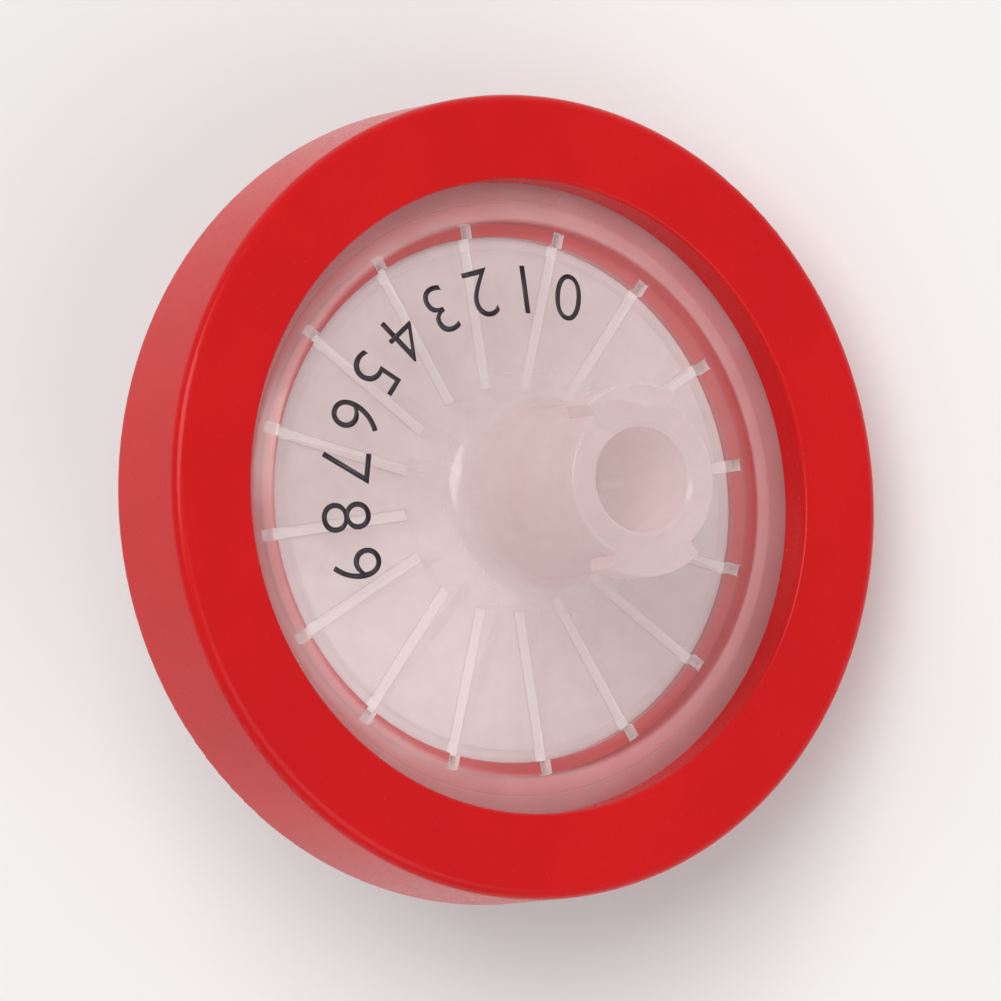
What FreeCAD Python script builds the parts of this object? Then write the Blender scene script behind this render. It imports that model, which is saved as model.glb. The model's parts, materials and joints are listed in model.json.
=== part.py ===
import FreeCAD, Part
import math
import os

import Sketcher
from FreeCAD import Placement, Rotation, Vector

# Syringe filter: two half-shells clamp a filter disc, and a ring moulded round their flanges holds them.
#
# The filter is built about its own axis, inlet upwards, with the middle of the ring at the origin. Each
# piece is then laid down as the filter comes to rest: on the ring's lower edge and the end of the outlet
# tip, with the origin on the surface straight below the middle of the ring and the inlet hub leaning
# towards +X.

# Driving dimensions, in millimetres and degrees.
DIMENSIONS = {
    # filter disc
    "MembraneRadius": 10.8,
    "MembraneThickness": 0.2,
    "SealWidth": 0.5,
    # steps from the filter disc out to the ring's edge
    "TongueWidth": 0.55,
    "ShoulderWidth": 0.8,
    "FlangeMargin": 0.81,
    "FlangeGrip": 1.9,
    "RingWall": 1.58,
    # hairline between pieces that are moulded or clamped together
    "Seam": 0.02,
    # ring
    "RingHeight": 5.3,
    "RingEdgeRound": 0.45,
    "WindowEdgeRound": 0.15,
    "WebThickness": 0.5,
    "TongueRise": 0.2,
    # both shells
    "FlangeThickness": 0.75,
    "ShoulderRise": 0.45,
    "ShoulderRound": 0.2,
    "ShellWall": 1.1,
    "RibCount": 16,
    # inlet shell
    "InletSlope": 14.0,
    "InletRibStart": 4.6,
    "InletRibThickness": 0.45,
    "InletPortRadius": 1.1,
    "InletPortLength": 0.75,
    "SocketDepth": 8.0,
    "SocketMouthRadius": 2.15,
    "SocketChamfer": 0.15,
    "LuerTaper": 0.06,
    "HubWall": 1.15,
    "HubDraft": 2.0,
    "HubBaseRound": 1.3,
    "HubEdgeRound": 0.15,
    "LugProud": 0.62,
    "LugHeight": 2.1,
    "LugFlank": 0.45,
    "LugAngle": 64.0,
    "LugChamfer": 0.12,
    # outlet shell
    "OutletSlope": 10.0,
    "OutletRibStart": 2.4,
    "OutletRibThickness": 0.7,
    "OutletPortRadius": 1.0,
    "TipLength": 7.75,
    "TipEndRadius": 1.97,
    "TipBaseRound": 0.8,
    "TipEndRound": 0.2,
}
LUG_COUNT = 2
FULL_TURN = 360.0
SAME = 1e-6


class Size:
    """A size that carries its value together with the sheet expression that it is bound by."""

    def __init__(self, value, text):
        self.value = value
        self.text = text

    def __add__(self, other):
        return Size(self.value + other.value, f"({self.text} + {other.text})")

    def __sub__(self, other):
        return Size(self.value - other.value, f"({self.text} - {other.text})")

    def __mul__(self, other):
        return Size(self.value * other.value, f"({self.text} * {other.text})")

    def __neg__(self):
        return Size(-self.value, f"(-1 * {self.text})")

    def half(self):
        return Size(self.value / 2, f"({self.text} / 2)")

    def slope(self):
        """Rise per unit of run, for an angle in degrees."""
        return Size(math.tan(math.radians(self.value)), f"tan({self.text})")


doc = FreeCAD.newDocument("syringe_filter")
sheet = doc.addObject("Spreadsheet::Sheet", "Sizes")
size = {}
for row, (alias, number) in enumerate(DIMENSIONS.items(), 1):
    sheet.set(f"A{row}", alias)
    sheet.set(f"B{row}", str(number))
    sheet.setAlias(f"B{row}", alias)
    size[alias] = Size(number, f"Sizes.{alias}")
doc.recompute()

# Heights above and below the middle of the ring that two or more pieces share.
seam = size["Seam"]
ring_top = size["RingHeight"].half()
web_top = size["WebThickness"].half()
tongue_top = web_top + size["TongueRise"]
flange_foot = web_top + seam
flange_top = flange_foot + size["FlangeThickness"]
shoulder_top = flange_top + size["ShoulderRise"]
membrane_top = size["MembraneThickness"].half()
seal_face = membrane_top + seam

# Radii, from the filter disc outwards.
membrane_radius = size["MembraneRadius"]
seal_radius = membrane_radius - size["SealWidth"]
tongue_start = membrane_radius + seam
tongue_radius = tongue_start + size["TongueWidth"]
face_radius = tongue_radius + seam
shoulder_foot = face_radius + size["ShoulderWidth"]
window_radius = shoulder_foot + size["FlangeMargin"]
flange_radius = window_radius + size["FlangeGrip"]
groove_radius = flange_radius + seam
ring_radius = groove_radius + size["RingWall"]
taper_per_side = size["LuerTaper"].half()


def new_body(label):
    body = doc.addObject("PartDesign::Body", label)
    body.Label = label
    return body


def new_sketch(body, name, role):
    """A sketch on one of the body's own origin planes."""
    sketch = body.newObject("Sketcher::SketchObject", name)
    plane = next(item for item in body.Origin.OriginFeatures if item.Role == role)
    sketch.AttachmentSupport = [(plane, "")]
    sketch.MapMode = "FlatFace"
    return sketch


def draw_outline(sketch, corners):
    """A closed outline of straight sides, with every corner bound to the sheet in both directions."""
    points = [Vector(across.value, up.value, 0) for across, up in corners]
    following = points[1:] + points[:1]
    for start, end in zip(points, following):
        sketch.addGeometry(Part.LineSegment(start, end))
    for side in range(len(points)):
        next_side = (side + 1) % len(points)
        sketch.addConstraint(Sketcher.Constraint("Coincident", side, 2, next_side, 1))
    for side, corner in enumerate(corners):
        for kind, distance in zip(("DistanceX", "DistanceY"), corner):
            rule = sketch.addConstraint(Sketcher.Constraint(kind, -1, 1, side, 1, distance.value))
            sketch.setExpression(f"Constraints[{rule}]", distance.text)


def revolve(body, name, role, corners, angle=None):
    """Turn an outline about the body's axis: all the way round, or by an angle centred on the outline."""
    sketch = new_sketch(body, f"{name}_profile", role)
    draw_outline(sketch, corners)
    feature = body.newObject("PartDesign::Revolution", name)
    feature.Profile = sketch
    feature.ReferenceAxis = (sketch, ["V_Axis"])
    feature.Angle = FULL_TURN
    if angle is not None:
        feature.Midplane = True
        feature.setExpression("Angle", angle.text)
    doc.recompute()
    return feature


def extrude_across(body, name, kind, role, corners, width):
    """Pad or pocket an outline by a width, half to each side of its plane."""
    sketch = new_sketch(body, f"{name}_outline", role)
    draw_outline(sketch, corners)
    feature = body.newObject(kind, name)
    feature.Profile = sketch
    feature.Midplane = True
    feature.setExpression("Length", width.text)
    doc.recompute()
    return feature


def repeat_round(body, name, feature, count):
    """Repeat a feature evenly about the body's axis. The count is a number or a size of the sheet."""
    pattern = body.newObject("PartDesign::PolarPattern", name)
    pattern.Originals = [feature]
    axis = next(item for item in body.Origin.OriginFeatures if item.Role == "Z_Axis")
    pattern.Axis = (axis, [""])
    pattern.Angle = FULL_TURN
    if isinstance(count, Size):
        pattern.setExpression("Occurrences", count.text)
    else:
        pattern.Occurrences = count
    body.Tip = pattern
    doc.recompute()
    return pattern


def circle_edges(feature, radius, height):
    """Names of a feature's circular edges at a radius and a height."""
    names = []
    for number, edge in enumerate(feature.Shape.Edges, 1):
        curve = edge.Curve
        if not isinstance(curve, Part.Circle):
            continue
        if abs(curve.Radius - radius.value) < SAME and abs(curve.Center.z - height.value) < SAME:
            names.append(f"Edge{number}")
    return names


def round_edges(body, name, base, places, radius):
    """Fillet the circular edges at (radius, height) places."""
    edges = [edge for place in places for edge in circle_edges(base, *place)]
    if not edges:
        raise RuntimeError(f"{name} found no edge to round")
    fillet = body.newObject("PartDesign::Fillet", name)
    fillet.Base = (base, edges)
    fillet.setExpression("Radius", radius.text)
    body.Tip = fillet
    doc.recompute()
    return fillet


def inlet_face_height(radius):
    """Height of the inlet shell's conical outer face at a radius."""
    return shoulder_top + (face_radius - radius) * size["InletSlope"].slope()


def outlet_face_height(radius):
    """Height of the outlet shell's conical outer face at a radius."""
    return -(shoulder_top + (face_radius - radius) * size["OutletSlope"].slope())


tip_end = outlet_face_height(size["TipEndRadius"]) - size["TipLength"]


def make_ring():
    """Red ring with a lip over and under the flanges, and a web between them that seals the filter disc."""
    body = new_body("overmould_ring")
    lip_foot = flange_top + seam
    profile = [
        (window_radius, ring_top),
        (ring_radius, ring_top),
        (ring_radius, -ring_top),
        (window_radius, -ring_top),
        (window_radius, -lip_foot),
        (groove_radius, -lip_foot),
        (groove_radius, -web_top),
        (tongue_start, -web_top),
        (tongue_start, tongue_top),
        (tongue_radius, tongue_top),
        (tongue_radius, web_top),
        (groove_radius, web_top),
        (groove_radius, lip_foot),
        (window_radius, lip_foot),
    ]
    turned = revolve(body, "ring", "XZ_Plane", profile)
    outer = [(ring_radius, ring_top), (ring_radius, -ring_top)]
    rounded = round_edges(body, "outer_rounds", turned, outer, size["RingEdgeRound"])
    inner = [(window_radius, ring_top), (window_radius, -ring_top)]
    round_edges(body, "window_rounds", rounded, inner, size["WindowEdgeRound"])
    # One slot for each tooth of the inlet shell, open towards the filter disc.
    slot_half = size["InletRibThickness"].half() + seam
    slot_end = face_radius + seam
    slot = [
        (seal_radius, slot_half),
        (seal_radius, -slot_half),
        (slot_end, -slot_half),
        (slot_end, slot_half),
    ]
    cut = extrude_across(body, "tooth_slot", "PartDesign::Pocket", "XY_Plane", slot, size["RingHeight"])
    repeat_round(body, "tooth_slots", cut, size["RibCount"])
    return body


def make_inlet_shell():
    """Upper half: flange, shoulder, conical face, luer-lock socket with two lugs, and radial ribs inside."""
    body = new_body("inlet_shell")
    port_radius = size["InletPortRadius"]
    roof_edge = inlet_face_height(seal_radius) - size["ShellWall"]
    roof_middle = inlet_face_height(port_radius) - size["ShellWall"]
    socket_floor = roof_middle + size["InletPortLength"]
    socket_floor_radius = size["SocketMouthRadius"] - size["SocketDepth"] * taper_per_side
    hub_top = socket_floor + size["SocketDepth"]
    hub_radius = size["SocketMouthRadius"] + size["HubWall"]
    hub_foot_radius = hub_radius + (hub_top - inlet_face_height(hub_radius)) * size["HubDraft"].slope()
    hub_foot = inlet_face_height(hub_foot_radius)
    chamfer = size["SocketChamfer"]
    profile = [
        (size["SocketMouthRadius"] + chamfer, hub_top),
        (hub_radius, hub_top),
        (hub_foot_radius, hub_foot),
        (face_radius, shoulder_top),
        (shoulder_foot, flange_top),
        (flange_radius, flange_top),
        (flange_radius, flange_foot),
        (face_radius, flange_foot),
        (face_radius, tongue_top + seam),
        (membrane_radius, tongue_top + seam),
        (membrane_radius, seal_face),
        (seal_radius, seal_face),
        (seal_radius, roof_edge),
        (port_radius, roof_middle),
        (port_radius, socket_floor),
        (socket_floor_radius, socket_floor),
        (size["SocketMouthRadius"] - chamfer * taper_per_side, hub_top - chamfer),
    ]
    turned = revolve(body, "shell", "XZ_Plane", profile)
    shoulder = [(face_radius, shoulder_top)]
    rounded = round_edges(body, "shoulder_round", turned, shoulder, size["ShoulderRound"])
    foot = [(hub_foot_radius, hub_foot)]
    rounded = round_edges(body, "hub_base_round", rounded, foot, size["HubBaseRound"])
    edge = [(hub_radius, hub_top)]
    round_edges(body, "hub_edge_round", rounded, edge, size["HubEdgeRound"])
    # A rib stands on the filter disc, and ends in a tooth that passes through the ring's web.
    bite = size["ShellWall"].half()
    rib = [
        (size["InletRibStart"], seal_face),
        (tongue_start, seal_face),
        (tongue_start, -web_top),
        (face_radius, -web_top),
        (face_radius, inlet_face_height(face_radius) - bite),
        (size["InletRibStart"], inlet_face_height(size["InletRibStart"]) - bite),
    ]
    width = size["InletRibThickness"]
    first_rib = extrude_across(body, "rib", "PartDesign::Pad", "XZ_Plane", rib, width)
    repeat_round(body, "ribs", first_rib, size["RibCount"])
    # Lugs at right angles to the axis, level with the mouth, on the two sides that face along Y.
    lug_foot = hub_top - size["LugHeight"]
    lug_root = hub_radius - size["HubWall"].half()
    lug_tip = hub_radius + size["LugProud"]
    lug = [
        (lug_root, lug_foot),
        (hub_radius, lug_foot),
        (lug_tip, lug_foot + size["LugFlank"]),
        (lug_tip, hub_top - size["LugChamfer"]),
        (lug_tip - size["LugChamfer"], hub_top),
        (lug_root, hub_top),
    ]
    first_lug = revolve(body, "lug", "YZ_Plane", lug, size["LugAngle"])
    repeat_round(body, "lugs", first_lug, LUG_COUNT)
    return body


def make_outlet_shell():
    """Lower half: flange, shoulder, conical face, male luer tip with its bore, and support ribs inside."""
    body = new_body("outlet_shell")
    port_radius = size["OutletPortRadius"]
    tip_foot_radius = size["TipEndRadius"] + size["TipLength"] * taper_per_side
    tip_foot = outlet_face_height(tip_foot_radius)
    floor_edge = outlet_face_height(seal_radius) + size["ShellWall"]
    floor_middle = outlet_face_height(port_radius) + size["ShellWall"]
    profile = [
        (port_radius, tip_end),
        (size["TipEndRadius"], tip_end),
        (tip_foot_radius, tip_foot),
        (face_radius, -shoulder_top),
        (shoulder_foot, -flange_top),
        (flange_radius, -flange_top),
        (flange_radius, -flange_foot),
        (membrane_radius, -flange_foot),
        (membrane_radius, -seal_face),
        (seal_radius, -seal_face),
        (seal_radius, floor_edge),
        (port_radius, floor_middle),
    ]
    turned = revolve(body, "shell", "XZ_Plane", profile)
    shoulder = [(face_radius, -shoulder_top)]
    rounded = round_edges(body, "shoulder_round", turned, shoulder, size["ShoulderRound"])
    foot = [(tip_foot_radius, tip_foot)]
    rounded = round_edges(body, "tip_base_round", rounded, foot, size["TipBaseRound"])
    end = [(size["TipEndRadius"], tip_end)]
    round_edges(body, "tip_end_round", rounded, end, size["TipEndRound"])
    # Support ribs carry the filter disc from below and leave channels to the port.
    bite = size["ShellWall"].half()
    rib_end = seal_radius + size["SealWidth"].half()
    rib = [
        (size["OutletRibStart"], -seal_face),
        (rib_end, -seal_face),
        (rib_end, outlet_face_height(rib_end) + bite),
        (size["OutletRibStart"], outlet_face_height(size["OutletRibStart"]) + bite),
    ]
    width = size["OutletRibThickness"]
    first_rib = extrude_across(body, "rib", "PartDesign::Pad", "XZ_Plane", rib, width)
    repeat_round(body, "ribs", first_rib, size["RibCount"])
    return body


def make_membrane():
    """White filter disc, clamped at its edge between the two shells."""
    body = new_body("membrane")
    sketch = new_sketch(body, "disc_outline", "XY_Plane")
    sketch.addGeometry(Part.Circle(Vector(), Vector(0, 0, 1), membrane_radius.value))
    sketch.addConstraint(Sketcher.Constraint("Coincident", 0, 3, -1, 1))
    rule = sketch.addConstraint(Sketcher.Constraint("Radius", 0, membrane_radius.value))
    sketch.setExpression(f"Constraints[{rule}]", membrane_radius.text)
    disc = body.newObject("PartDesign::Pad", "disc")
    disc.Profile = sketch
    disc.Midplane = True
    disc.setExpression("Length", size["MembraneThickness"].text)
    doc.recompute()
    return body


def resting_place():
    """Where the filter lies: its tilt, and the height of the middle of the ring above the surface.

    The ring's lower edge and the end of the tip are both rounded, and both rounds touch the surface.
    """
    ring_round = size["RingEdgeRound"].value
    tip_round = size["TipEndRound"].value
    ring_reach = ring_radius.value - ring_round
    ring_drop = ring_top.value - ring_round
    tip_reach = size["TipEndRadius"].value - tip_round
    tip_drop = -tip_end.value - tip_round
    along = tip_drop - ring_drop
    across = ring_reach - tip_reach
    tilt = math.atan2(along, across) - math.asin((ring_round - tip_round) / math.hypot(along, across))
    lift = ring_drop * math.cos(tilt) + ring_reach * math.sin(tilt) + ring_round
    return Placement(Vector(0, 0, lift), Rotation(Vector(0, 1, 0), math.degrees(tilt)))


pieces = [make_ring(), make_inlet_shell(), make_outlet_shell(), make_membrane()]
rest = resting_place()
for piece in pieces:
    piece.Placement = rest
doc.recompute()

for item in doc.Objects:
    if "Invalid" in item.State or "Error" in item.State:
        raise RuntimeError(f"{item.Name} could not be built: {item.State}")
os.makedirs("parts", exist_ok=True)
for piece in pieces:
    shape = piece.Shape
    if shape.isNull() or not shape.isValid() or len(shape.Solids) != 1:
        raise RuntimeError(f"{piece.Label} is not one valid solid")
for piece in pieces:
    piece.Shape.exportStep(f"parts/{piece.Label}.step")
    box = piece.Shape.BoundBox
    print(f"{piece.Label}: {piece.Shape.Volume:.1f} mm3, {box.XMin:.2f}..{box.XMax:.2f} "
          f"{box.YMin:.2f}..{box.YMax:.2f} {box.ZMin:.2f}..{box.ZMax:.2f}")
print(f"tilt {math.degrees(rest.Rotation.Angle):.2f} degrees, ring centre {rest.Base.z:.3f} mm up")
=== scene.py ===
import json
import math

import bmesh
import bpy
from mathutils import Matrix, Vector
from mathutils.bvhtree import BVHTree


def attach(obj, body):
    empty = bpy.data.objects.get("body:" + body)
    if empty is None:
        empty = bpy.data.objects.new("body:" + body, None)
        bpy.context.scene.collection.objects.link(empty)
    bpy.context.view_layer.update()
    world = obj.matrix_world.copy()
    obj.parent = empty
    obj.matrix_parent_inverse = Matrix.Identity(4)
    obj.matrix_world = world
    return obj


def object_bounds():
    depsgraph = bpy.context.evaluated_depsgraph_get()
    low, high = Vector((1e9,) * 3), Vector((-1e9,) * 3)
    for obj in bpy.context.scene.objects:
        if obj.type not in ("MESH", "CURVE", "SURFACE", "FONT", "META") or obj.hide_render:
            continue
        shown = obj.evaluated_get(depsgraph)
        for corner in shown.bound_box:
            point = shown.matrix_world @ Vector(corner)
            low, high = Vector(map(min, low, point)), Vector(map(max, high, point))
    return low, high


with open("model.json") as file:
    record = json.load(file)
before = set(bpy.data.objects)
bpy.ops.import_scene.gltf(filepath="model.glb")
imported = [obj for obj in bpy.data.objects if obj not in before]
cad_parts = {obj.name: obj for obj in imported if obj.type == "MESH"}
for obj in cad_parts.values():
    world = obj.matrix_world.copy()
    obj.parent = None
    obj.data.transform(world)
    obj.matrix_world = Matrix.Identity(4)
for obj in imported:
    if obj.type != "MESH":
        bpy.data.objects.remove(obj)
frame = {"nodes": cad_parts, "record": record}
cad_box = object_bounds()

MM = 0.001
BODY = "root"
INLET_SIDE = 1
OUTLET_SIDE = -1

# The filter's own frame: its axis points up out of the inlet, with the middle of the ring at the origin.
rim = next(mount for mount in frame["record"]["mounts"] if mount["name"] == "rim")
ring_centre = Vector(rim["pos_m"])
filter_axis = Vector(rim["axis"]).normalized()
lean = math.atan2(filter_axis.x, filter_axis.z)
filter_frame = Matrix.Translation(ring_centre) @ Matrix.Rotation(lean, 4, "Y")

# Row of digits printed on the inlet face, read with the hub above them.
DIGITS = "0123456789"
DIGIT_HEIGHT_MM = 2.0
DIGIT_THINNING = -0.012
DIGIT_CURVE_STEPS = 8
DIGIT_WELD_MM = 0.0005
PRINT_RADIUS_MM = 8.5
PRINT_START = math.radians(67)
PRINT_END = math.radians(192)
INK_GAP_MM = 0.004
INK_THICKNESS_MM = 0.012

# Radii at which rays measure a shell's outer face, and how far from the membrane they start.
FACE_PROBES_MM = (7.0, 10.0)
PROBE_START_MM = 20.0

# Normals of the faces that turn about the filter's axis: corners this near share a place, a face may lean
# this far sideways, and faces that meet at less than the angle are one round.
WELD_MM = 0.001
TURNED_LIMIT = 0.02
ROUND_LIMIT = math.cos(math.radians(22))

# Colours. In a pair, a pattern mixes between the two.
RING_REDS = (0.57, 0.0030, 0.0050), (0.63, 0.0045, 0.0065)
# Milky white of the shells, tinted pink as painted red light that the ring bounces into them.
SHELL_TINTS_WITH_PAINTED_RED_LIGHT = (0.86, 0.72, 0.72), (0.89, 0.77, 0.765)
# Shoulder and flange colour: painted light, lighter against the shade of the ring's wall and redder for the
# light the ring bounces there.
SHOULDER_PAINTED_LIGHT = (0.97, 0.78, 0.785)
FOOT_TINT = (0.94, 0.86, 0.85)
# Colour of the teeth, painted lighter and pink against the shade they sit in.
TOOTH_PAINTED_LIGHT = (0.98, 0.85, 0.84)
# The membrane's white, painted dimmer and pink as red light from around it.
MEMBRANE_WHITES_IN_PAINTED_RED_LIGHT = (0.75, 0.64, 0.64), (0.80, 0.70, 0.695)
INK_BLACKS = (0.012, 0.008, 0.012), (0.030, 0.020, 0.028)
FLOOR_GREY = (0.86, 0.86, 0.86)
WHITE = (1, 1, 1, 1)

PLASTIC_IOR = 1.49
# Most values of a noise lie between these two.
NOISE_LOW = 0.3
NOISE_HIGH = 0.7
# Share of the light that clear plastic mirrors when seen squarely, and how steeply it rises to all of it.
LEAST_MIRROR = 0.04
MIRROR_POWER = 5.0
# Sight lines that graze the plastic count as crossing it at no less than this cosine.
LEAST_COSINE = 0.12

# How milky the skin of a shell is, by distance from the filter's axis in millimetres: most at the hub, less
# over the face, least over the teeth, more again at the shoulder and less on the flange inside the ring.
SKIN_MILK = [
    (0.0, 0.45), (3.4, 0.45), (6.5, 0.15), (10.6, 0.15), (10.9, 0.08), (11.3, 0.08),
    (11.5, 0.42), (12.10, 0.42), (12.25, 0.28), (13.0, 0.28),
]
# Share of the milky body that is lit from behind, by the same distance.
GLOW_SHARE = [(0.0, 0.35), (11.2, 0.35), (11.5, 0.0), (13.0, 0.0)]
# Radii over which the shell's colour turns to the shoulder's painted light.
SHOULDER_START_MM = 11.2
SHOULDER_END_MM = 11.5
# Depths under the skin between which it gives way to the inner walls, and how milky those are.
SKIN_FADE_MM = 0.3
SKIN_MM = 0.5
INNER_MILK = 0.03
# Haze makes the milk vary between these shares of itself.
PATCHY_SHARES = 0.85, 1.15

# Ribs inside each shell. Their feet reach the membrane, and on the inlet shell teeth at their outer ends
# pass through the ring's web. Feet and teeth show as light bars of thicker, milkier plastic; the teeth's
# colour is also painted lighter and pink against the shade they sit in.
RIB_COUNT = 16
INLET_RIB_MM = 0.45
OUTLET_RIB_MM = 0.70
RIB_EDGE_MM = 0.01
RIB_MILK = 3.0
RIB_FEET_MM = 0.16
TOOTH_MIDDLE_MM = 11.1
TOOTH_HALF_MM = 0.31

# Camera and world light.
CAMERA_DISTANCE = 0.5
CAMERA_TURN = math.radians(-8.5)
VIEW_WIDTH = 0.041
SENSOR_MM = 36.0
NEAR_CLIP = 0.01
WORLD_LIGHT = 0.50
# A low sight line can cross the walls of many ribs.
CLEAR_LAYERS = 24


class Finish:
    """A material of procedural nodes, with patterns laid out in the filter's own frame in millimetres."""

    def __init__(self, name):
        self.material = bpy.data.materials.new(name)
        self.material.use_nodes = True
        self.tree = self.material.node_tree
        self.shader = self.tree.nodes["Principled BSDF"]
        place = self.add("TexCoord")
        mapping = self.add("Mapping", Location=ring_centre, Rotation=(0, lean, 0), Scale=(MM, MM, MM))
        mapping.vector_type = "TEXTURE"
        self.link(place.outputs["Object"], mapping.inputs["Vector"])
        self.place = mapping.outputs["Vector"]
        self.last_bump = None

    def add(self, kind, **inputs):
        """Adds a node, with each input linked to a socket or set to a value."""
        node = self.tree.nodes.new("ShaderNode" + kind)
        for name, value in inputs.items():
            self.fill(node.inputs[name.replace("_", " ")], value)
        return node

    def fill(self, socket, value):
        if isinstance(value, bpy.types.NodeSocket):
            self.link(value, socket)
        else:
            socket.default_value = value

    def link(self, source, target):
        self.tree.links.new(source, target)

    def set(self, **values):
        """Sets shader inputs that are the same all over, such as ior=1.49."""
        for name, value in values.items():
            socket_name = name.replace("_", " ").title().replace("Ior", "IOR")
            self.shader.inputs[socket_name].default_value = value

    def drive(self, name, source):
        """Lets a pattern drive a shader input."""
        self.link(source, self.shader.inputs[name])

    def noise(self, per_mm, detail, place=None):
        node = self.add("TexNoise", Vector=place or self.place, Scale=per_mm, Detail=detail)
        return node.outputs["Fac"]

    def math(self, operation, *values):
        node = self.add("Math")
        node.operation = operation
        for socket, value in zip(node.inputs, values):
            self.fill(socket, value)
        return node.outputs["Value"]

    def on_rib(self, width_mm):
        """1 where one of the ribs runs, 0 between them."""
        place = self.add("SeparateXYZ", Vector=self.place)
        azimuth = self.math("ARCTAN2", place.outputs["Y"], place.outputs["X"])
        half_pitch = math.pi / RIB_COUNT
        offset = self.math("ABSOLUTE", self.math("WRAP", azimuth, half_pitch, -half_pitch))
        sideways = self.math("MULTIPLY", offset, self.radius())
        return self.math("LESS_THAN", sideways, width_mm / 2 + RIB_EDGE_MM)

    def height(self):
        """Height above the middle of the membrane, along the filter's axis."""
        return self.add("SeparateXYZ", Vector=self.place).outputs["Z"]

    def radius(self):
        """Distance from the filter's axis."""
        flat = self.add("VectorMath", Vector=self.place)
        flat.operation = "MULTIPLY"
        flat.inputs[1].default_value = (1, 1, 0)
        length = self.add("VectorMath", Vector=flat.outputs["Vector"])
        length.operation = "LENGTH"
        return length.outputs["Value"]

    def round_place(self):
        """A place for patterns that run round the filter's axis."""
        return self.add("CombineXYZ", X=self.radius()).outputs["Vector"]

    def profile(self, source, points):
        """Follows points (place, value) along a source, with straight lines between them."""
        start, end = points[0][0], points[-1][0]
        ramp = self.add("ValToRGB", Fac=self.range(source, 0, 1, start, end))
        elements = ramp.color_ramp.elements
        while len(elements) < len(points):
            elements.new(1.0)
        for element, (place, value) in zip(elements, points):
            element.position = (place - start) / (end - start)
            element.color = (value, value, value, 1)
        return ramp.outputs["Color"]

    def range(self, source, low, high, start=NOISE_LOW, end=NOISE_HIGH):
        """Goes from low to high while the source goes from start to end."""
        node = self.add("MapRange", Value=source, From_Min=start, From_Max=end, To_Min=low, To_Max=high)
        return node.outputs["Result"]

    def shades(self, share, first, second):
        """Mixes two colours, each a socket or three numbers."""
        node = self.add("Mix")
        node.data_type = "RGBA"
        for socket, value in zip([item for item in node.inputs if item.type == "RGBA"], (first, second)):
            self.fill(socket, value if isinstance(value, bpy.types.NodeSocket) else (*value, 1))
        self.fill(node.inputs["Factor"], share)
        return next(item for item in node.outputs if item.type == "RGBA")

    def bump(self, height, depth_mm):
        """Adds relief of a depth on top of the relief that is there already."""
        node = self.add("Bump", Height=height, Distance=depth_mm * MM)
        if self.last_bump is not None:
            self.link(self.last_bump, node.inputs["Normal"])
        self.last_bump = node.outputs["Normal"]
        self.link(self.last_bump, self.shader.inputs["Normal"])

    def facing(self):
        """0 where the surface is seen squarely, 1 where it is grazed."""
        return self.add("LayerWeight", Blend=0.5).outputs["Facing"]

    def blend(self, share, first, second):
        node = self.add("MixShader", Fac=share)
        self.link(first, node.inputs[1])
        self.link(second, node.inputs[2])
        return node.outputs["Shader"]

    def veil(self, milk, rough, colour, glow_share):
        """Milky and see-through: the more plastic the sight line crosses, the less shows through it."""
        cosine = self.math("MAXIMUM", self.math("SUBTRACT", 1.0, self.facing()), LEAST_COSINE)
        crossed = self.math("DIVIDE", self.math("MULTIPLY", milk, -1.0), cosine)
        share = self.math("SUBTRACT", 1.0, self.math("EXPONENT", crossed))
        glow = self.add("BsdfTranslucent", Color=colour).outputs["BSDF"]
        body = self.blend(glow_share, self.shader.outputs["BSDF"], glow)
        gloss = self.add("BsdfAnisotropic", Color=WHITE, Roughness=rough, Normal=self.last_bump)
        rise = self.math("POWER", self.facing(), MIRROR_POWER)
        mirror = self.math("MULTIPLY_ADD", rise, 1 - LEAST_MIRROR, LEAST_MIRROR)
        clear = self.add("BsdfTransparent").outputs["BSDF"]
        see = self.blend(mirror, clear, gloss.outputs["BSDF"])
        output = self.tree.nodes["Material Output"]
        self.link(self.blend(share, see, body), output.inputs["Surface"])


def ring_plastic():
    """Red polypropylene: satin gloss with faint flow marks and the fine grain of the mould."""
    finish = Finish("ring_plastic")
    flow = finish.range(finish.noise(per_mm=0.22, detail=3.0), 0, 1)
    finish.drive("Base Color", finish.shades(flow, *RING_REDS))
    finish.drive("Roughness", finish.range(finish.noise(per_mm=2.5, detail=3.0), 0.20, 0.28))
    finish.set(ior=PLASTIC_IOR, specular_ior_level=0.24)
    finish.bump(finish.noise(per_mm=0.7, detail=2.0), depth_mm=0.006)
    finish.bump(finish.noise(per_mm=3.0, detail=1.0, place=finish.round_place()), depth_mm=0.0010)
    finish.bump(finish.noise(per_mm=3.5, detail=1.0), depth_mm=0.0008)
    return finish.material


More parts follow.
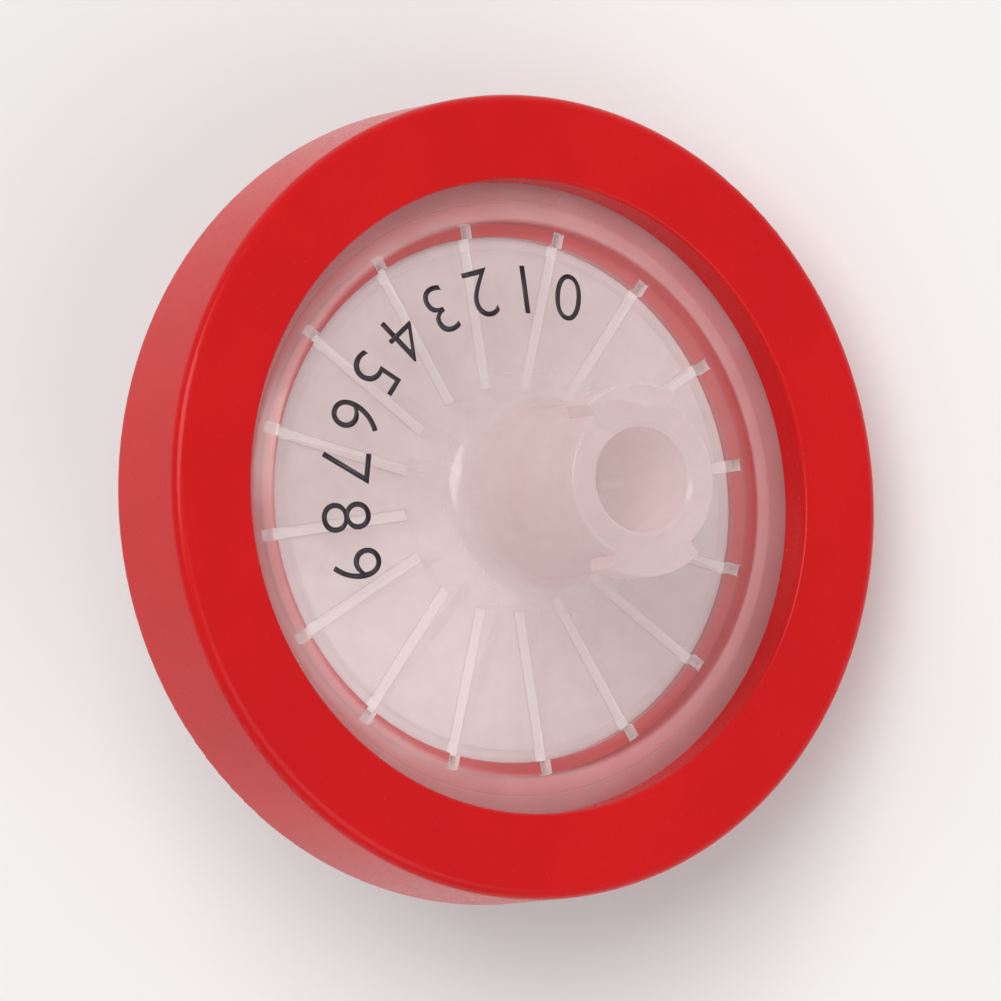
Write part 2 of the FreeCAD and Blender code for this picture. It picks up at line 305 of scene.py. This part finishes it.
def shell_plastic(name, node, side, rib_width_mm):
    """Natural polypropylene of one half-shell: milky in hub and shoulder, clearer in the face and inside."""
    finish = Finish(name)
    radius = finish.radius()
    height = finish.math("MULTIPLY", finish.height(), float(side))
    face_height, face_rise = face_height_line(node, side)
    face = finish.math("MULTIPLY_ADD", radius, face_rise, face_height)
    inside = finish.range(finish.math("SUBTRACT", face, height), 0, 1, SKIN_FADE_MM, SKIN_MM)
    rib = finish.math("MULTIPLY", finish.on_rib(rib_width_mm), inside)
    low = finish.math("LESS_THAN", height, RIB_FEET_MM)
    tooth = finish.math("COMPARE", radius, TOOTH_MIDDLE_MM, TOOTH_HALF_MM)
    feet = finish.math("MULTIPLY", finish.math("MAXIMUM", low, tooth), rib)
    haze = finish.noise(per_mm=0.35, detail=3.0)
    patchy = finish.range(haze, *PATCHY_SHARES)
    skin = finish.profile(radius, SKIN_MILK)
    inner = finish.math("MULTIPLY_ADD", feet, RIB_MILK - INNER_MILK, INNER_MILK)
    even = finish.math("MULTIPLY_ADD", inside, finish.math("SUBTRACT", inner, skin), skin)
    milk = finish.math("MULTIPLY", even, patchy)
    # The shell's milky colour varies at random and carries a pink of painted red light from the ring.
    tint = finish.shades(finish.range(haze, 0, 1), *SHELL_TINTS_WITH_PAINTED_RED_LIGHT)
    # From the shoulder outwards the colour is painted lighter against the ring wall's shade and redder for
    # the ring's bounced light.
    painted_light_at_shoulder = finish.range(radius, 0, 1, SHOULDER_START_MM, SHOULDER_END_MM)
    tint = finish.shades(painted_light_at_shoulder, tint, SHOULDER_PAINTED_LIGHT)
    # Feet take a lighter colour for their thicker plastic; the teeth's colour is painted light and pink
    # where they sit in shade.
    colour = finish.shades(feet, tint, finish.shades(tooth, FOOT_TINT, TOOTH_PAINTED_LIGHT))
    finish.drive("Base Color", colour)
    rough = finish.range(finish.noise(per_mm=1.6, detail=3.0), 0.16, 0.22)
    finish.drive("Roughness", rough)
    finish.set(ior=PLASTIC_IOR)
    finish.bump(finish.noise(per_mm=0.6, detail=2.0), depth_mm=0.006)
    finish.bump(finish.noise(per_mm=2.5, detail=1.0), depth_mm=0.0005)
    glow = finish.math("MULTIPLY", finish.math("SUBTRACT", 1.0, feet), finish.profile(radius, GLOW_SHARE))
    finish.veil(milk, rough, colour, glow)
    return finish.material


def membrane_film():
    """Matt white filter membrane with a fine porous face, its white painted dimmer and pink for red light
    from around it.
    """
    finish = Finish("membrane_film")
    clouds = finish.range(finish.noise(per_mm=1.2, detail=4.0), 0, 1)
    finish.drive("Base Color", finish.shades(clouds, *MEMBRANE_WHITES_IN_PAINTED_RED_LIGHT))
    finish.drive("Roughness", finish.range(finish.noise(per_mm=5.0, detail=2.0), 0.80, 0.95))
    finish.set(specular_ior_level=0.25)
    finish.bump(finish.noise(per_mm=7.0, detail=4.0), depth_mm=0.01)
    return finish.material


def printing_ink():
    """Black pad-printing ink, a little uneven where it lies thin."""
    finish = Finish("printing_ink")
    thin = finish.noise(per_mm=3.5, detail=4.0)
    finish.drive("Base Color", finish.shades(finish.range(thin, 0, 1), *INK_BLACKS))
    finish.drive("Roughness", finish.range(thin, 0.38, 0.52))
    finish.bump(finish.noise(per_mm=12.0, detail=2.0), depth_mm=0.0015)
    return finish.material


def paint(obj, material):
    obj.data.materials.clear()
    obj.data.materials.append(material)


def off_axis(spot):
    return spot.xy.length > WELD_MM * MM


def middle_azimuth(spots):
    """Direction round the axis of the middle of a face, from its corners off the axis."""
    angles = [math.atan2(spot.y, spot.x) for spot in spots if off_axis(spot)]
    offsets = [math.remainder(angle - angles[0], 2 * math.pi) for angle in angles]
    return angles[0] + (min(offsets) + max(offsets)) / 2


def ring_place(spot):
    """Radius and height of a place, rounded so that neighbouring faces share it."""
    step = WELD_MM * MM
    return round(spot.xy.length / step), round(spot.z / step)


def shade_turned_faces(obj):
    """Gives the faces that turn about the filter's axis the normals of true cones, rounds and flats.

    A face's slope is its normal as (outward, along the axis). At each radius and height, the slopes are
    summed by area in groups one degree wide, and a corner takes the mean of those near its face's slope.
    """
    mesh = obj.data
    into_filter = filter_frame.inverted()
    turn_in, turn_out = into_filter.to_3x3(), filter_frame.to_3x3()
    spots = [into_filter @ vertex.co for vertex in mesh.vertices]
    slopes = {}
    shared = {}
    for face in mesh.polygons:
        azimuth = middle_azimuth([spots[index] for index in face.vertices])
        normal = turn_in @ face.normal
        outward = normal.x * math.cos(azimuth) + normal.y * math.sin(azimuth)
        sideways = normal.y * math.cos(azimuth) - normal.x * math.sin(azimuth)
        if abs(sideways) > TURNED_LIMIT:
            continue
        slope = Vector((outward, normal.z)).normalized()
        slopes[face.index] = slope, azimuth
        group = round(math.degrees(math.atan2(slope.y, slope.x)))
        for index in face.vertices:
            place = shared.setdefault(ring_place(spots[index]), {})
            place[group] = place.get(group, Vector((0, 0))) + slope * face.area
    normals = [Vector(corner.vector) for corner in mesh.corner_normals]
    for face in mesh.polygons:
        if face.index not in slopes:
            continue
        slope, azimuth = slopes[face.index]
        for corner in face.loop_indices:
            spot = spots[mesh.loops[corner].vertex_index]
            sums = shared[ring_place(spot)].values()
            near = [each for each in sums if each.normalized() @ slope > ROUND_LIMIT]
            along = sum(near, Vector((0, 0))).normalized()
            angle = math.atan2(spot.y, spot.x) if off_axis(spot) else azimuth
            own = Vector((along.x * math.cos(angle), along.x * math.sin(angle), along.y))
            normals[corner] = turn_out @ own
    for face in mesh.polygons:
        face.use_smooth = True
    mesh.normals_split_custom_set(normals)


def face_height_line(node, side):
    """Height at radius 0 and rise per millimetre of a shell's outer face, a cone measured on the CAD.

    Heights count away from the membrane, upwards for INLET_SIDE and downwards for OUTLET_SIDE.
    """
    shell = frame["nodes"][node]
    corners = [vertex.co for vertex in shell.data.vertices]
    tree = BVHTree.FromPolygons(corners, [face.vertices for face in shell.data.polygons])
    into_filter = filter_frame.inverted()
    heights = []
    for probe in FACE_PROBES_MM:
        outside = filter_frame @ Vector((0, probe * MM, side * PROBE_START_MM * MM))
        hit = tree.ray_cast(outside, -side * filter_axis)[0]
        heights.append(side * (into_filter @ hit).z / MM)
    rise = (heights[1] - heights[0]) / (FACE_PROBES_MM[1] - FACE_PROBES_MM[0])
    return heights[0] - rise * FACE_PROBES_MM[0], rise


def flat_digit(character):
    """Outline of one digit as a flat mesh in millimetres, centred on the origin."""
    curve = bpy.data.curves.new("digit", "FONT")
    curve.body = character
    curve.offset = DIGIT_THINNING
    curve.resolution_u = DIGIT_CURVE_STEPS
    text = bpy.data.objects.new("digit", curve)
    mesh = bpy.data.meshes.new_from_object(text)
    bpy.data.objects.remove(text)
    low = [min(vertex.co[axis] for vertex in mesh.vertices) for axis in (0, 1)]
    high = [max(vertex.co[axis] for vertex in mesh.vertices) for axis in (0, 1)]
    scale = DIGIT_HEIGHT_MM / (high[1] - low[1])
    middle = Vector(((low[0] + high[0]) / 2, (low[1] + high[1]) / 2, 0))
    mesh.transform(Matrix.Scale(scale, 4) @ Matrix.Translation(-middle))
    return mesh


def make_print():
    """The digits as thin pads of ink that follow the cone, with their tops towards the hub."""
    face_height, face_rise = face_height_line("inlet_shell", INLET_SIDE)
    ink = bmesh.new()
    for index, character in enumerate(DIGITS):
        angle = PRINT_START + (PRINT_END - PRINT_START) * index / (len(DIGITS) - 1)
        outward = Vector((math.cos(angle), math.sin(angle), 0))
        onward = Vector((-math.sin(angle), math.cos(angle), 0))
        digit = bmesh.new()
        digit.from_mesh(flat_digit(character))
        bmesh.ops.remove_doubles(digit, verts=digit.verts, dist=DIGIT_WELD_MM)
        grown = bmesh.ops.extrude_face_region(digit, geom=digit.faces[:], use_keep_orig=True)
        upper = {item for item in grown["geom"] if isinstance(item, bmesh.types.BMVert)}
        for vertex in digit.verts:
            spot = outward * (PRINT_RADIUS_MM - vertex.co.y) + onward * vertex.co.x
            layer = INK_GAP_MM + (INK_THICKNESS_MM if vertex in upper else 0)
            spot.z = face_height + face_rise * spot.length + layer
            vertex.co = filter_frame @ (spot * MM)
        bmesh.ops.recalc_face_normals(digit, faces=digit.faces[:])
        part = bpy.data.meshes.new("digit")
        digit.to_mesh(part)
        digit.free()
        ink.from_mesh(part)
    mesh = bpy.data.meshes.new("face_print")
    ink.to_mesh(mesh)
    ink.free()
    piece = bpy.data.objects.new("face_print", mesh)
    bpy.context.scene.collection.objects.link(piece)
    return piece


def make_floor():
    """Pale floor that curves up all round into its own backdrop."""
    flat_radius, bend_radius, bend = 1.6, 0.8, math.radians(60)
    sides, steps, weld = 96, 12, 0.0001
    profile = [(0.0, 0.0)]
    for step in range(steps + 1):
        turn = bend * step / steps
        profile.append((flat_radius + bend_radius * math.sin(turn), bend_radius * (1 - math.cos(turn))))
    shape = bmesh.new()
    edges = []
    verts = [shape.verts.new((across, 0, up)) for across, up in profile]
    for start, end in zip(verts, verts[1:]):
        edges.append(shape.edges.new((start, end)))
    bmesh.ops.spin(shape, geom=verts + edges, axis=(0, 0, 1), cent=(0, 0, 0), angle=2 * math.pi, steps=sides)
    bmesh.ops.remove_doubles(shape, verts=shape.verts, dist=weld)
    bmesh.ops.recalc_face_normals(shape, faces=shape.faces[:])
    for face in shape.faces:
        face.smooth = True
    mesh = bpy.data.meshes.new("floor")
    shape.to_mesh(mesh)
    shape.free()
    floor = bpy.data.objects.new("floor", mesh)
    bpy.context.scene.collection.objects.link(floor)
    material = bpy.data.materials.new("floor")
    material.use_nodes = True
    shader = material.node_tree.nodes["Principled BSDF"]
    shader.inputs["Base Color"].default_value = (*FLOOR_GREY, 1)
    shader.inputs["Roughness"].default_value = 0.9
    shader.inputs["Specular IOR Level"].default_value = 0.1
    paint(floor, material)


def add_lamp(name, place, side, power, colour):
    """Square soft lamp that faces the filter."""
    data = bpy.data.lights.new(name, "AREA")
    data.size = side
    data.energy = power
    data.color = colour
    lamp = bpy.data.objects.new(name, data)
    lamp.location = place
    lamp.rotation_euler = (ring_centre - Vector(place)).to_track_quat("-Z", "Y").to_euler()
    bpy.context.scene.collection.objects.link(lamp)


def light_scene():
    """White light all round, a warm lamp over the far side and a weaker cool one over the near right."""
    world = bpy.data.worlds.new("studio")
    world.use_nodes = True
    world.node_tree.nodes["Background"].inputs["Color"].default_value = WHITE
    world.node_tree.nodes["Background"].inputs["Strength"].default_value = WORLD_LIGHT
    bpy.context.scene.world = world
    add_lamp("key", place=(-0.55, 1.30, 3.05), side=2.1, power=60.0, colour=(1.0, 0.985, 0.965))
    add_lamp("fill", place=(1.50, -1.50, 2.75), side=2.5, power=22.5, colour=(0.97, 0.985, 1.0))


def add_camera():
    """Looks straight down, turned so that the hub leans to the right and a little up."""
    data = bpy.data.cameras.new("camera")
    data.sensor_width = SENSOR_MM
    data.clip_start = NEAR_CLIP
    low, high = cad_box
    middle = (Vector(low) + Vector(high)) / 2
    data.lens = SENSOR_MM * CAMERA_DISTANCE / VIEW_WIDTH
    camera = bpy.data.objects.new("camera", data)
    camera.location = middle + Vector((0, 0, CAMERA_DISTANCE))
    camera.rotation_euler = (0, 0, CAMERA_TURN)
    bpy.context.scene.collection.objects.link(camera)
    bpy.context.scene.camera = camera


nodes = frame["nodes"]
paint(nodes["overmould_ring"], ring_plastic())
paint(nodes["inlet_shell"], shell_plastic("inlet_plastic", "inlet_shell", INLET_SIDE, INLET_RIB_MM))
paint(nodes["outlet_shell"], shell_plastic("outlet_plastic", "outlet_shell", OUTLET_SIDE, OUTLET_RIB_MM))
paint(nodes["membrane"], membrane_film())
for piece in nodes.values():
    shade_turned_faces(piece)

digits = make_print()
paint(digits, printing_ink())
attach(digits, BODY)

make_floor()
light_scene()
add_camera()
bpy.context.scene.view_settings.view_transform = "Standard"
bpy.context.scene.cycles.transparent_max_bounces = CLEAR_LAYERS
